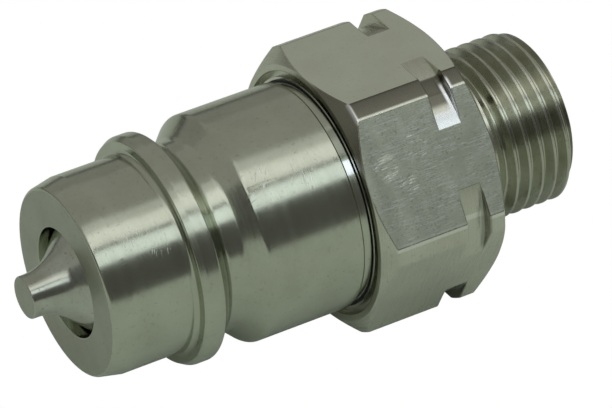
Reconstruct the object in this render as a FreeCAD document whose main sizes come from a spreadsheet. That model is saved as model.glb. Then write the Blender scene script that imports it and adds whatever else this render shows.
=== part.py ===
import FreeCAD, Part
import math
import os
import re
import Sketcher
from FreeCAD import Placement, Rotation, Vector

# Hydraulic quick coupling plug, poppet type, with a hexagon adapter for a 12 mm tube.
# Millimetres. X runs along the axis, nose towards -X and thread towards +X. +Z is up, and a flat of the
# hexagon faces down. The origin is on the axis, where the probe's cylinder meets its stop shoulder.

DRIVING = [
    # Probe and locking collar
    ("probeRadius", 10.25, "sealing cylinder of the probe"),
    ("probeLength", 8.55, "nose face to the foot of the stop shoulder"),
    ("leadInLength", 2.4, "taper behind the nose face"),
    ("leadInDrop", 0.5, "radial drop of that taper"),
    ("noseRound", 0.35, "rounding of the nose edge"),
    ("shoulderRound", 0.6, "fillet between probe and stop shoulder"),
    ("collarRadius", 11.9, "locking collar"),
    ("collarWidth", 2.1, "stop shoulder to the ball groove"),
    ("collarChamferRun", 0.7, "front edge of the collar along the axis"),
    ("collarChamferDrop", 0.4, "front edge of the collar across the axis"),
    # Ball groove
    ("grooveRootRadius", 10.0, "root of the ball groove"),
    ("grooveRootWidth", 1.85, "root between the two flanks"),
    ("grooveFrontRun", 1.65, "flank behind the collar, along the axis"),
    ("grooveRearRun", 1.9, "flank in front of the skirt, along the axis"),
    ("grooveRound", 0.5, "fillets at the root"),
    ("skirtRound", 0.45, "rounding where the flank meets the skirt"),
    # Skirt
    ("skirtRadius", 11.9, "outside of the body behind the groove"),
    ("bodyLength", 28.0, "nose face to rear face"),
    ("rearChamferRun", 1.03, "rear edge along the axis"),
    ("rearChamferDrop", 0.6, "rear edge across the axis"),
    # Inside of the body
    ("mouthRadius", 5.7, "bore in the nose face"),
    ("mouthLength", 2.6, "nose face to the valve seat"),
    ("mouthRound", 0.15, "edge of that bore"),
    ("chamberRadius", 8.2, "valve chamber"),
    ("guideSeatReach", 11.4, "rear face to the shoulder that carries the guide"),
    ("guideStep", 0.6, "radial width of that shoulder"),
    ("snapGrooveDepth", 0.7, "snap ring groove below the counterbore"),
    ("sealBoreReach", 7.45, "rear face to the step of the sealing bore"),
    ("sealBoreRadius", 9.2, "sealing bore"),
    ("bodyThreadLength", 3.25, "rear face to the inner end of the body's thread"),
    ("bodyThreadRadius", 9.75, "mean radius of that thread"),
    # Poppet
    ("tipStandout", 4.55, "poppet tip in front of the nose face"),
    ("tipRadius", 2.2, "poppet tip"),
    ("tipChamfer", 0.2, "edge of the tip"),
    ("flareRadius", 5.0, "concave sweep behind the tip"),
    ("flareAngle", 45.0, "half angle where the sweep ends, degrees"),
    ("pilotLength", 1.2, "cylinder that runs in the nose bore"),
    ("pilotClearance", 0.25, "between that cylinder and the nose bore"),
    ("seatGap", 0.2, "axial gap between valve cone and seat"),
    ("coneRun", 0.85, "metal part of the valve cone, along the axis"),
    ("sealLength", 1.5, "poppet seal along the axis"),
    ("sealProud", 0.08, "seal in front of the metal cone"),
    ("sealHeight", 0.72, "conical face of the seal, along the axis"),
    ("neckRadius", 4.4, "neck of the head inside the seal"),
    ("neckClearance", 0.05, "neck to seal and retainer"),
    ("spigotRadius", 2.6, "end of the head inside the retainer"),
    ("spigotShort", 0.1, "that end stops this much before the retainer does"),
    ("retainerLength", 1.0, "thickness of the retainer"),
    ("retainerRadius", 6.7, "outside of the retainer"),
    ("flangeRadius", 3.7, "flange of the stem"),
    ("flangeLength", 0.8, "thickness of that flange"),
    ("stemRadius", 1.75, "stem in the guide"),
    ("studRadius", 1.5, "threaded end of the stem"),
    ("studLength", 3.6, "that end in front of the flange"),
    ("studClearance", 0.03, "thread clearance in the head"),
    ("studSpare", 0.4, "hole in the head beyond the stem's end"),
    ("stopRadius", 2.6, "shoulder of the stem that limits the stroke"),
    ("stroke", 4.8, "opening stroke"),
    ("stopClearance", 0.02, "that shoulder to the guide at full stroke"),
    ("stemTail", 1.5, "stem behind the guide at rest"),
    ("stemChamfer", 0.3, "end of the stem"),
    # Guide, snap ring and spring
    ("guideThickness", 1.8, "rim and legs of the guide"),
    ("guideClearance", 0.05, "guide to counterbore"),
    ("guideRim", 1.2, "radial width of the rim"),
    ("hubRadius", 3.2, "centre bush of the guide"),
    ("hubFront", 1.2, "bush in front of the legs"),
    ("hubRear", 1.6, "bush behind the legs"),
    ("legWidth", 2.0, "width of a leg"),
    ("legOverlap", 0.4, "leg into the rim"),
    ("legCount", 3, "number of legs"),
    ("stemClearance", 0.05, "running clearance of the stem"),
    ("snapThickness", 1.0, "snap ring"),
    ("snapWidth", 1.5, "radial width of the snap ring"),
    ("snapClearance", 0.06, "snap ring to its groove"),
    ("snapGap", 40.0, "open angle of the snap ring, degrees"),
    ("wireRadius", 0.5, "spring wire"),
    ("coilClearance", 0.8, "flange of the stem to the inside of the spring"),
    ("springClearance", 0.02, "spring to its seats"),
    ("activeTurns", 3.5, "working turns"),
    ("endTurns", 1.0, "closed turns at each end"),
    # Adapter spigot and its rings
    ("spigotGap", 0.4, "step of the sealing bore to the spigot's end"),
    ("spigotClearance", 0.05, "spigot to sealing bore and thread"),
    ("flowRadius", 5.0, "through bore"),
    ("flowChamfer", 1.0, "mouth of that bore in the spigot"),
    ("ringGrooveStart", 0.8, "spigot's end to the ring groove"),
    ("ringSection", 1.6, "cord of the O-ring as squeezed"),
    ("ringSpare", 0.3, "side play in the groove"),
    ("ringClearance", 0.03, "rings to groove and bore"),
    ("backupWidth", 0.9, "backup ring along the axis"),
    ("faceSealGap", 0.05, "body's rear face to the face seal"),
    ("faceSealLength", 0.5, "thickness of the face seal"),
    ("faceSealWidth", 1.4, "radial width of the face seal"),
    ("faceSealSpare", 0.8, "adapter's thread to the face seal"),
    ("caseWall", 0.25, "sheet of the seal case"),
    ("caseRim", 0.6, "rim of the case in front of its floor"),
    ("recessClearance", 0.65, "seal case to the wall of its recess"),
    ("recessDepth", 0.95, "recess in the hexagon's front face"),
    # Hexagon
    ("faceLand", 0.65, "recess to the edge of the hexagon's front face"),
    ("acrossFlats", 27.0, "wrench size"),
    ("cornerRadius", 15.05, "turned corners"),
    ("frontChamferRun", 1.1, "front chamfer along the axis"),
    ("hexLength", 14.25, "front face to rear face"),
    ("rearEdgeRadius", 13.45, "edge of the rear face"),
    ("rearEdgeRun", 0.9, "rear chamfer along the axis"),
    ("markDepth", 1.2, "depth of the ring groove in the corners"),
    ("markWidth", 2.5, "width of that groove"),
    ("markLand", 2.6, "hexagon's rear face to that groove"),
    # Male thread and tube socket
    ("stubLength", 11.4, "hexagon to the end of the male thread"),
    ("threadRadius", 8.95, "crests of the male thread"),
    ("reliefRadius", 7.95, "thread relief"),
    ("reliefLength", 2.95, "thread relief along the axis"),
    ("reliefRound", 0.3, "foot of the relief at the hexagon"),
    ("threadChamferRun", 0.5, "end of the thread along the axis"),
    ("threadChamferDrop", 0.6, "end of the thread across the axis"),
    ("socketRadius", 6.05, "tube socket"),
    ("socketDepth", 7.0, "end face to the tube stop"),
    ("coneMouthRadius", 7.0, "mouth of the sealing cone"),
    ("coneHalfAngle", 12.0, "half of the 24 degree cone, degrees"),
]

doc = FreeCAD.newDocument("CouplingPlug")
sheet = doc.addObject("Spreadsheet::Sheet", "Dims")
for row, (alias, value, note) in enumerate(DRIVING, start=1):
    sheet.set("A%d" % row, alias)
    sheet.set("B%d" % row, str(value))
    sheet.set("C%d" % row, note)
    sheet.setAlias("B%d" % row, alias)
doc.recompute()
ALIASES = {alias for alias, value, note in DRIVING}

# Stations along the axis, measured from the nose face
SHOULDER = "(probeLength + shoulderRound)"
COLLAR_REAR = "(%s + collarWidth)" % SHOULDER
ROOT_FRONT = "(%s + grooveFrontRun)" % COLLAR_REAR
ROOT_REAR = "(%s + grooveRootWidth)" % ROOT_FRONT
SKIRT_FRONT = "(%s + grooveRearRun)" % ROOT_REAR
GUIDE_SEAT = "(bodyLength - guideSeatReach)"
SEAL_BORE = "(bodyLength - sealBoreReach)"
BODY_THREAD = "(bodyLength - bodyThreadLength)"
PILOT_REAR = "(mouthLength + seatGap - pilotClearance)"
PILOT_FRONT = "(%s - pilotLength)" % PILOT_REAR
CONE_REAR = "(%s + coneRun)" % PILOT_REAR
SEAL_REAR = "(%s + sealLength)" % CONE_REAR
RETAINER_REAR = "(%s + retainerLength)" % SEAL_REAR
HUB_FRONT = "(%s - hubFront)" % GUIDE_SEAT
GUIDE_REAR = "(%s + guideThickness)" % GUIDE_SEAT
STEM_END = "(%s + hubRear + stemTail)" % GUIDE_REAR
SPIGOT_END = "(%s + spigotGap)" % SEAL_BORE
SEAL_FRONT = "(bodyLength + faceSealGap)"
CASE_FLOOR = "(%s + faceSealLength)" % SEAL_FRONT
RECESS_FLOOR = "(%s + caseWall)" % CASE_FLOOR
HEX_FRONT = "(%s - recessDepth)" % RECESS_FLOOR
HEX_REAR = "(%s + hexLength)" % HEX_FRONT
RING_FRONT = "(%s + ringGrooveStart)" % SPIGOT_END

# Radii that follow from a mating piece
GUIDE_BORE = "(chamberRadius + guideStep)"
SNAP_ROOT = "(%s + snapGrooveDepth)" % GUIDE_BORE
PILOT = "(mouthRadius - pilotClearance)"
CONE_RIM = "(%s + coneRun)" % PILOT
SEAL_RIM = "(%s + sealProud + sealHeight)" % CONE_RIM
NECK_HOLE = "(neckRadius + neckClearance)"
COIL = "(flangeRadius + coilClearance + wireRadius)"
SPIGOT = "(sealBoreRadius - spigotClearance)"
RING_ROOT = "(sealBoreRadius - ringSection)"
THREAD_INSIDE = "(bodyThreadRadius - spigotClearance)"
FACE_SEAL = "(%s + faceSealSpare)" % THREAD_INSIDE
CASE_INSIDE = "(%s + faceSealWidth)" % FACE_SEAL
CASE = "(%s + caseWall)" % CASE_INSIDE
RECESS = "(%s + recessClearance)" % CASE
FACE = "(%s + faceLand)" % RECESS


def inSheet(text):
    return re.sub(r"[A-Za-z]\w*", lambda m: "Dims." + m.group() if m.group() in ALIASES else m.group(), text)


def value(text):
    return float(sheet.evalExpression(inSheet(text)))


def newBody(label, station):
    """A body whose own X starts at a station behind the nose face."""
    body = doc.addObject("PartDesign::Body", label)
    body.Label = label
    body.setExpression("Placement.Base.x", inSheet("%s - probeLength" % station))
    return body


def originPlane(body, role):
    return next(item for item in body.Origin.OriginFeatures if item.Role == role)


def newSketch(body, name, role="XY_Plane", offset=None):
    sketch = body.newObject("Sketcher::SketchObject", name)
    sketch.AttachmentSupport = [(originPlane(body, role), "")]
    sketch.MapMode = "FlatFace"
    if offset is not None:
        sketch.setExpression("AttachmentOffset.Base.z", inSheet(offset))
    return sketch


def pin(sketch, geo, end, across, along):
    """Tie one point of a sketch to two expressions, or to an axis where one of them is zero."""
    for kind, axis, text in (("DistanceX", -2, across), ("DistanceY", -1, along)):
        if text == "0":
            sketch.addConstraint(Sketcher.Constraint("PointOnObject", geo, end, axis))
            continue
        rule = Sketcher.Constraint(kind, -1, 1, geo, end, value(text))
        index = sketch.addConstraint(rule)
        sketch.setExpression("Constraints[%d]" % index, inSheet(text))


def arcThrough(start, end, radius, side):
    """Arc of a given radius between two points; side is +1 or -1 for its centre left or right of the chord."""
    chord = end - start
    middle = start + chord * 0.5
    normal = Vector(-chord.y, chord.x, 0).normalize() * side
    centre = middle + normal * math.sqrt(radius ** 2 - (chord.Length / 2) ** 2)
    bulge = (middle - centre).normalize() * radius + centre
    return Part.Arc(start, bulge, end)


def drawOutline(sketch, corners):
    """Closed outline. A corner is (x, y) or, where an arc leads to it, (x, y, radius, side)."""
    points = [Vector(value(c[0]), value(c[1]), 0) for c in corners]
    last = len(corners) - 1
    for i, corner in enumerate(corners):
        start = points[i - 1]
        if len(corner) == 2:
            sketch.addGeometry(Part.LineSegment(start, points[i]))
        else:
            sketch.addGeometry(arcThrough(start, points[i], value(corner[2]), corner[3]))
    ends = []
    for i, corner in enumerate(corners):
        forward = len(corner) == 2 or isForward(sketch, i, points[i - 1])
        ends.append((1, 2) if forward else (2, 1))
    for i in range(len(corners)):
        before = i - 1 if i else last
        sketch.addConstraint(Sketcher.Constraint("Coincident", before, ends[before][1], i, ends[i][0]))
    for i, corner in enumerate(corners):
        pin(sketch, i, ends[i][1], corner[0], corner[1])
        if len(corner) > 2:
            index = sketch.addConstraint(Sketcher.Constraint("Radius", i, value(corner[2])))
            sketch.setExpression("Constraints[%d]" % index, inSheet(corner[2]))


def isForward(sketch, geo, start):
    return (sketch.Geometry[geo].StartPoint - start).Length < 1e-6


def turn(body, name, corners, cut=False, angle=360.0):
    """Revolve an outline about the body's X axis, as material or as a turned groove."""
    before = body.Shape.Volume if cut else 0.0
    sketch = newSketch(body, name + "Profile")
    drawOutline(sketch, corners)
    feature = body.newObject("PartDesign::Groove" if cut else "PartDesign::Revolution", name)
    feature.Profile = sketch
    feature.ReferenceAxis = (sketch, ["H_Axis"])
    feature.Angle = angle
    doc.recompute()
    if cut and not body.Shape.Volume < before:
        raise ValueError(name + " cuts nothing")
    return feature


def soften(body, name, radius, circles, chamfer=False):
    """Round or chamfer turned edges, each given as (station in the body, radius)."""
    wanted = [(value(x), value(r)) for x, r in circles]
    base = body.Tip
    edges = []
    for number, edge in enumerate(base.Shape.Edges, start=1):
        curve = edge.Curve
        if not isinstance(curve, Part.Circle):
            continue
        for x, r in wanted:
            if abs(curve.Center.x - x) < 1e-4 and abs(curve.Radius - r) < 1e-4:
                edges.append("Edge%d" % number)
    if len(edges) < len(wanted):
        raise ValueError(name + " misses an edge")
    feature = body.newObject("PartDesign::Chamfer" if chamfer else "PartDesign::Fillet", name)
    feature.Base = (base, edges)
    feature.setExpression("Size" if chamfer else "Radius", inSheet(radius))
    doc.recompute()
    return feature


def tube(label, station, inner, outer, length):
    body = newBody(label, station)
    turn(body, label + "Ring", [("0", inner), ("0", outer), (length, outer), (length, inner)])
    return body


def makePlugBody():
    body = newBody("plug_body", "0")
    turn(body, "Blank", [
        ("0", "mouthRadius"),
        ("0", "probeRadius - leadInDrop"),
        ("leadInLength", "probeRadius"),
        (SHOULDER, "probeRadius"),
        (SHOULDER, "collarRadius - collarChamferDrop"),
        (SHOULDER + " + collarChamferRun", "collarRadius"),
        (COLLAR_REAR, "collarRadius"),
        (ROOT_FRONT, "grooveRootRadius"),
        (ROOT_REAR, "grooveRootRadius"),
        (SKIRT_FRONT, "skirtRadius"),
        ("bodyLength - rearChamferRun", "skirtRadius"),
        ("bodyLength", "skirtRadius - rearChamferDrop"),
        ("bodyLength", "bodyThreadRadius"),
        (BODY_THREAD, "bodyThreadRadius"),
        (BODY_THREAD, "sealBoreRadius"),
        (SEAL_BORE, "sealBoreRadius"),
        (SEAL_BORE, GUIDE_BORE),
        (GUIDE_SEAT, GUIDE_BORE),
        (GUIDE_SEAT, "chamberRadius"),
        ("mouthLength + chamberRadius - mouthRadius", "chamberRadius"),
        ("mouthLength", "mouthRadius"),
    ])
    turn(body, "SnapGroove", [
        (GUIDE_REAR, "chamberRadius"),
        (GUIDE_REAR, SNAP_ROOT),
        (GUIDE_REAR + " + snapThickness + 2 * snapClearance", SNAP_ROOT),
        (GUIDE_REAR + " + snapThickness + 2 * snapClearance", "chamberRadius"),
    ], cut=True)
    soften(body, "NoseEdge", "noseRound", [("0", "probeRadius - leadInDrop")])
    soften(body, "MouthEdge", "mouthRound", [("0", "mouthRadius")])
    soften(body, "ShoulderFoot", "shoulderRound", [(SHOULDER, "probeRadius")])
    soften(body, "GrooveFoot", "grooveRound", [
        (ROOT_FRONT, "grooveRootRadius"),
        (ROOT_REAR, "grooveRootRadius"),
    ])
    soften(body, "SkirtEdge", "skirtRound", [(SKIRT_FRONT, "skirtRadius")])
    return body


def makePoppetHead():
    tip = "(0 - tipStandout)"
    body = newBody("poppet_head", tip)
    ahead = "tipStandout + "
    sweepRise = "(flareRadius * (1 - cos(flareAngle)))"
    sweepEnd = "(%s - (%s - tipRadius - %s) / tan(flareAngle))" % (PILOT_FRONT, PILOT, sweepRise)
    hole = "(studRadius + studClearance)"
    headEnd = ahead + RETAINER_REAR + " - spigotShort"
    turn(body, "Head", [
        ("0", "0"),
        ("0", "tipRadius - tipChamfer"),
        ("tipChamfer", "tipRadius"),
        (ahead + sweepEnd + " - flareRadius * sin(flareAngle)", "tipRadius"),
        (ahead + sweepEnd, "tipRadius + " + sweepRise, "flareRadius", 1),
        (ahead + PILOT_FRONT, PILOT),
        (ahead + PILOT_REAR, PILOT),
        (ahead + CONE_REAR, CONE_RIM),
        (ahead + CONE_REAR, "neckRadius"),
        (ahead + SEAL_REAR, "neckRadius"),
        (ahead + SEAL_REAR, "spigotRadius"),
        (headEnd, "spigotRadius"),
        (headEnd, hole),
        (ahead + RETAINER_REAR + " - studLength - studSpare", hole),
        (ahead + RETAINER_REAR + " - studLength - studSpare", "0"),
    ])
    return body


def makePoppetSeal():
    body = newBody("poppet_seal", CONE_REAR)
    turn(body, "Seal", [
        ("0", NECK_HOLE),
        ("0", CONE_RIM + " + sealProud"),
        ("sealHeight", SEAL_RIM),
        ("sealLength", SEAL_RIM),
        ("sealLength", NECK_HOLE),
    ])
    return body


def makePoppetStem():
    body = newBody("poppet_stem", "(%s - studLength)" % RETAINER_REAR)
    back = "studLength - %s + " % RETAINER_REAR
    flangeRear = "studLength + flangeLength"
    stopEnd = back + HUB_FRONT + " - stroke - stopClearance"
    turn(body, "Stem", [
        ("0", "0"),
        ("0", "studRadius"),
        ("studLength", "studRadius"),
        ("studLength", "flangeRadius"),
        (flangeRear, "flangeRadius"),
        (flangeRear, "stopRadius"),
        (stopEnd, "stopRadius"),
        (stopEnd, "stemRadius"),
        (back + STEM_END, "stemRadius"),
        (back + STEM_END, "0"),
    ])
    soften(body, "StemEnd", "stemChamfer", [(back + STEM_END, "stemRadius")], chamfer=True)
    return body


def padOnAxis(body, name, draw, offset, length, cut=False):
    """Pad or pocket a sketch that stands across the axis, from a station in the body."""
    before = body.Shape.Volume if cut else 0.0
    sketch = newSketch(body, name + "Sketch", "YZ_Plane", offset)
    draw(sketch)
    feature = body.newObject("PartDesign::Pocket" if cut else "PartDesign::Pad", name)
    feature.Profile = sketch
    feature.Length = value(length)
    feature.setExpression("Length", inSheet(length))
    if cut:
        feature.Reversed = True
    doc.recompute()
    if cut and not body.Shape.Volume < before:
        raise ValueError(name + " cuts nothing")
    return feature


def drawCircles(*radii):
    def draw(sketch):
        for radius in radii:
            circle = Part.Circle(Vector(0, 0, 0), Vector(0, 0, 1), value(radius))
            geo = sketch.addGeometry(circle)
            sketch.addConstraint(Sketcher.Constraint("Coincident", geo, 3, -1, 1))
            index = sketch.addConstraint(Sketcher.Constraint("Radius", geo, value(radius)))
            sketch.setExpression("Constraints[%d]" % index, inSheet(radius))
    return draw


def drawBlock(left, right, low, high):
    def draw(sketch):
        drawOutline(sketch, [(left, low), (left, high), (right, high), (right, low)])
    return draw


def patternRound(body, feature, count):
    pattern = body.newObject("PartDesign::PolarPattern", feature.Name + "s")
    pattern.Originals = [feature]
    pattern.Axis = (feature.Profile[0], ["N_Axis"])
    pattern.Angle = 360
    pattern.Occurrences = count
    body.Tip = pattern
    doc.recompute()
    return pattern


def makeValveGuide():
    body = newBody("valve_guide", HUB_FRONT)
    rimOutside = "(%s - guideClearance)" % GUIDE_BORE
    rimInside = "(%s - guideRim)" % rimOutside
    padOnAxis(body, "Hub", drawCircles("hubRadius"), "0", "hubFront + guideThickness + hubRear")
    leg = drawBlock("0 - legWidth / 2", "legWidth / 2", "hubRadius / 2", rimInside + " + legOverlap")
    patternRound(body, padOnAxis(body, "Leg", leg, "hubFront", "guideThickness"), int(value("legCount")))
    padOnAxis(body, "Rim", drawCircles(rimInside, rimOutside), "hubFront", "guideThickness")
    padOnAxis(body, "Bore", drawCircles("stemRadius + stemClearance"), "0",
              "hubFront + guideThickness + hubRear", cut=True)
    return body


def makeSnapRing():
    body = newBody("guide_snap_ring", "(%s + snapClearance)" % GUIDE_REAR)
    outside = "(%s - snapClearance)" % SNAP_ROOT
    ring = turn(body, "SnapRing", [
        ("0", outside + " - snapWidth"),
        ("0", outside),
        ("snapThickness", outside),
        ("snapThickness", outside + " - snapWidth"),
    ])
    ring.setExpression("Angle", inSheet("360 - snapGap"))
    doc.recompute()
    return body


def makeAdapter():
    body = newBody("hex_adapter", SPIGOT_END)
    back = "0 - %s + " % SPIGOT_END
    hexFront = back + HEX_FRONT
    hexRear = back + HEX_REAR
    end = hexRear + " + stubLength"
    coneRun = "((coneMouthRadius - socketRadius) / tan(coneHalfAngle))"
    turn(body, "TurnedBlank", [
        ("0", "flowRadius + flowChamfer"),
        ("0", SPIGOT),
        (back + BODY_THREAD + " + spigotClearance", SPIGOT),
        (back + BODY_THREAD + " + spigotClearance", THREAD_INSIDE),
        (back + RECESS_FLOOR, THREAD_INSIDE),
        (back + RECESS_FLOOR, RECESS),
        (hexFront, RECESS),
        (hexFront, FACE),
        (hexFront + " + frontChamferRun", "cornerRadius"),
        (hexRear + " - rearEdgeRun", "cornerRadius"),
        (hexRear, "rearEdgeRadius"),
        (hexRear, "reliefRadius"),
        (hexRear + " + reliefLength", "reliefRadius"),
        (hexRear + " + reliefLength + threadRadius - reliefRadius", "threadRadius"),
        (end + " - threadChamferRun", "threadRadius"),
        (end, "threadRadius - threadChamferDrop"),
        (end, "coneMouthRadius"),
        (end + " - " + coneRun, "socketRadius"),
        (end + " - socketDepth", "socketRadius"),
        (end + " - socketDepth", "flowRadius"),
        ("flowChamfer", "flowRadius"),
    ])
    ringWidth = "(ringSection + ringSpare + backupWidth)"
    turn(body, "RingGroove", [
        ("ringGrooveStart", "sealBoreRadius"),
        ("ringGrooveStart", RING_ROOT),
        ("ringGrooveStart + " + ringWidth, RING_ROOT),
        ("ringGrooveStart + " + ringWidth, "sealBoreRadius"),
    ], cut=True)
    markRoot = "(cornerRadius - markDepth)"
    beyond = "(cornerRadius + markDepth)"
    turn(body, "MarkGroove", [
        (hexRear + " - markLand - markWidth", beyond),
        (hexRear + " - markLand - markWidth", markRoot),
        (hexRear + " - markLand", markRoot),
        (hexRear + " - markLand", beyond),
    ], cut=True)
    soften(body, "ReliefFoot", "reliefRound", [(hexRear, "reliefRadius")])
    flat = padOnAxis(body, "Flat", drawBlock("0 - cornerRadius", "cornerRadius", "acrossFlats / 2", beyond),
                     hexFront, "hexLength", cut=True)
    patternRound(body, flat, 6)
    return body


def makeCase():
    body = newBody("face_seal_case", "(%s - caseRim)" % CASE_FLOOR)
    turn(body, "Case", [
        ("0", CASE_INSIDE),
        ("0", CASE),
        ("caseRim + caseWall", CASE),
        ("caseRim + caseWall", FACE_SEAL),
        ("caseRim", FACE_SEAL),
        ("caseRim", CASE_INSIDE),
    ])
    return body


def makeORing():
    ring = doc.addObject("Part::Torus", "adapter_o_ring")
    ring.Label = "adapter_o_ring"
    ring.setExpression("Radius1", inSheet("%s + ringSection / 2" % RING_ROOT))
    ring.setExpression("Radius2", inSheet("ringSection / 2 - ringClearance"))
    ring.Placement = Placement(Vector(0, 0, 0), Rotation(Vector(0, 1, 0), 90))
    ring.setExpression("Placement.Base.x", inSheet("%s + ringSection / 2 - probeLength" % RING_FRONT))
    return ring


def springPath(start, end, turns, closed, pitch, radius):
    """Centre line of a coil with closed end turns that run smoothly into the working turns."""
    rise = (end - start) - 2 * closed * pitch
    open_ = turns - 2 * closed
    steps = 12
    points = []
    for step in range(int(round(turns * steps)) + 1):
        turnsDone = step / steps
        share = min(max((turnsDone - closed) / open_, 0.0), 1.0)
        ease = share - math.sin(2 * math.pi * share) / (2 * math.pi)
        shift = min(turnsDone, closed) + max(turnsDone - turns + closed, 0.0)
        x = start + shift * pitch + rise * ease
        angle = 2 * math.pi * turnsDone
        points.append(Vector(x, radius * math.cos(angle), radius * math.sin(angle)))
    curve = Part.BSplineCurve()
    curve.interpolate(points)
    return curve.toShape()


def wireSection(centre, along, radius, sides=8):
    """Outline of the wire across its path: a polygon of the round wire's own area."""
    across = along.cross(Vector(1, 0, 0)).normalize()
    other = along.cross(across).normalize()
    reach = radius * math.sqrt(2 * math.pi / (sides * math.sin(2 * math.pi / sides)))
    corners = []
    for side in range(sides):
        angle = 2 * math.pi * (side + 0.5) / sides
        corners.append(centre + across * reach * math.cos(angle) + other * reach * math.sin(angle))
    return Part.makePolygon(corners + corners[:1])


def makeSpring():
    wire = value("wireRadius")
    front = value(RETAINER_REAR + " + springClearance")
    rear = value(GUIDE_SEAT + " - springClearance")
    pitch = 2 * wire + value("springClearance")
    turns = value("activeTurns + 2 * endTurns")
    radius = value(COIL)
    path = springPath(front + wire / 4, rear - wire / 4, turns, value("endTurns"), pitch, radius)
    section = wireSection(path.Vertexes[0].Point, path.tangentAt(path.FirstParameter), wire)
    coil = Part.Wire(path).makePipeShell([section], True, True)
    room = Part.makeCylinder(radius + 2 * wire, rear - front, Vector(front, 0, 0), Vector(1, 0, 0))
    spring = doc.addObject("Part::Feature", "valve_spring")
    spring.Label = "valve_spring"
    spring.Shape = coil.common(room)
    spring.setExpression("Placement.Base.x", "0 - Dims.probeLength")
    return spring


def main():
    parts = [
        makePlugBody(),
        makeAdapter(),
        makeCase(),
        tube("face_seal", SEAL_FRONT, FACE_SEAL, CASE_INSIDE + " - ringClearance", "faceSealLength"),
        makePoppetHead(),
        makePoppetSeal(),
        tube("seal_retainer", SEAL_REAR, "(spigotRadius + neckClearance)", "retainerRadius", "retainerLength"),
        makePoppetStem(),
        makeSpring(),
        makeValveGuide(),
        makeSnapRing(),
        makeORing(),
        tube("adapter_backup_ring", "(%s + ringSection + ringSpare)" % RING_FRONT,
             RING_ROOT + " + ringClearance", "sealBoreRadius - ringClearance", "backupWidth - ringClearance"),
    ]
    doc.recompute()
    for item in doc.Objects:
        if "Invalid" in item.State or "Error" in item.State:
            raise ValueError("%s failed: %s" % (item.Label, item.State))
    for part in parts:
        if part.Shape.isNull() or not part.Shape.isValid() or len(part.Shape.Solids) != 1:
            raise ValueError(part.Label + " is not one valid solid")
    os.makedirs("parts", exist_ok=True)
    for part in parts:
        part.Shape.exportStep("parts/%s.step" % part.Label)
        box = part.Shape.BoundBox
        print("%-20s %9.1f mm3  x %7.2f to %7.2f  r %5.2f" % (
            part.Label, part.Shape.Volume, box.XMin, box.XMax, box.YMax))


main()
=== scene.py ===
import math
import bmesh
import bpy
from mathutils import Matrix, Vector


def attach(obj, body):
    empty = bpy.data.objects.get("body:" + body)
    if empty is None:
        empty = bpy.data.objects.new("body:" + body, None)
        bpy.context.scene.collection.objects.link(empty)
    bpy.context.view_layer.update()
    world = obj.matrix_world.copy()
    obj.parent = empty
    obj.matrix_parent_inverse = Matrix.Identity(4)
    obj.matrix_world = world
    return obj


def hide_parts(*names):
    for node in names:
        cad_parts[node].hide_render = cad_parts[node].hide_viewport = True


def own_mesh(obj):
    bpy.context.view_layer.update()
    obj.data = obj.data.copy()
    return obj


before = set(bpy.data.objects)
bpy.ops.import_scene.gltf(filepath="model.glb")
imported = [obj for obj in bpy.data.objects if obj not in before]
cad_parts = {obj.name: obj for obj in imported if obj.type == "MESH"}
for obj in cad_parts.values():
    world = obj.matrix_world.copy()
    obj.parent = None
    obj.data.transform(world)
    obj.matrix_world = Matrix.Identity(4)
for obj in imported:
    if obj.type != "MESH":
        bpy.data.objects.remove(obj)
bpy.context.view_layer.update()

# Metres, in the frame of the CAD model: X along the axis from nose to thread, Z up.
# The dictionaries hold millimetres, and places along the axis count from the nose face.
mm = 0.001
noseToOrigin = 8.55


def station(x, r, angle=0.0):
    return Vector(((x - noseToOrigin) * mm, r * mm * math.cos(angle), r * mm * math.sin(angle)))


def addPiece(name, bm, body, replaced, sharp=32.0):
    # Edges that turn by more than the sharp angle, in degrees, stay crisp.
    mesh = bpy.data.meshes.new(name)
    bmesh.ops.recalc_face_normals(bm, faces=bm.faces)
    bm.to_mesh(mesh)
    bm.free()
    mesh.shade_smooth()
    mesh.set_sharp_from_angle(angle=math.radians(sharp))
    piece = bpy.data.objects.new(name, mesh)
    bpy.context.scene.collection.objects.link(piece)
    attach(piece, body)
    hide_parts(*replaced)
    return piece


rounding = {
    "steps": 5,            # chords of an arc
    "longestShare": 0.42,  # of a side that one arc may take
    "hold": 0.07,          # support points stand this far outside the arc
    "holdShare": 0.06,     # or this share of the side, where that is less
}


def roundCorners(corners, steps=rounding["steps"]):
    # A corner is (x, r) or (x, r, radius). A radius becomes an arc with a support point on each side.
    points = []
    count = len(corners)
    longest = rounding["longestShare"]
    for i, corner in enumerate(corners):
        here = Vector(corner[:2])
        if len(corner) == 2:
            points.append(here)
            continue
        before = Vector(corners[i - 1][:2]) - here
        after = Vector(corners[(i + 1) % count][:2]) - here
        half = before.angle(after) / 2
        reach = min(corner[2] / math.tan(half), before.length * longest, after.length * longest)
        radius = reach * math.tan(half)
        middle = (before.normalized() + after.normalized()).normalized() * (radius / math.sin(half))
        first = before.normalized() * reach - middle
        last = after.normalized() * reach - middle
        swing = first.angle(last)
        holdBefore = min(rounding["hold"], before.length * rounding["holdShare"])
        holdAfter = min(rounding["hold"], after.length * rounding["holdShare"])
        points.append(here + before.normalized() * (reach + holdBefore))
        for step in range(steps + 1):
            share = step / steps
            fromFirst = first * math.sin((1 - share) * swing)
            fromLast = last * math.sin(share * swing)
            points.append(here + middle + (fromFirst + fromLast) / math.sin(swing))
        points.append(here + after.normalized() * (reach + holdAfter))
    return points


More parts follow.
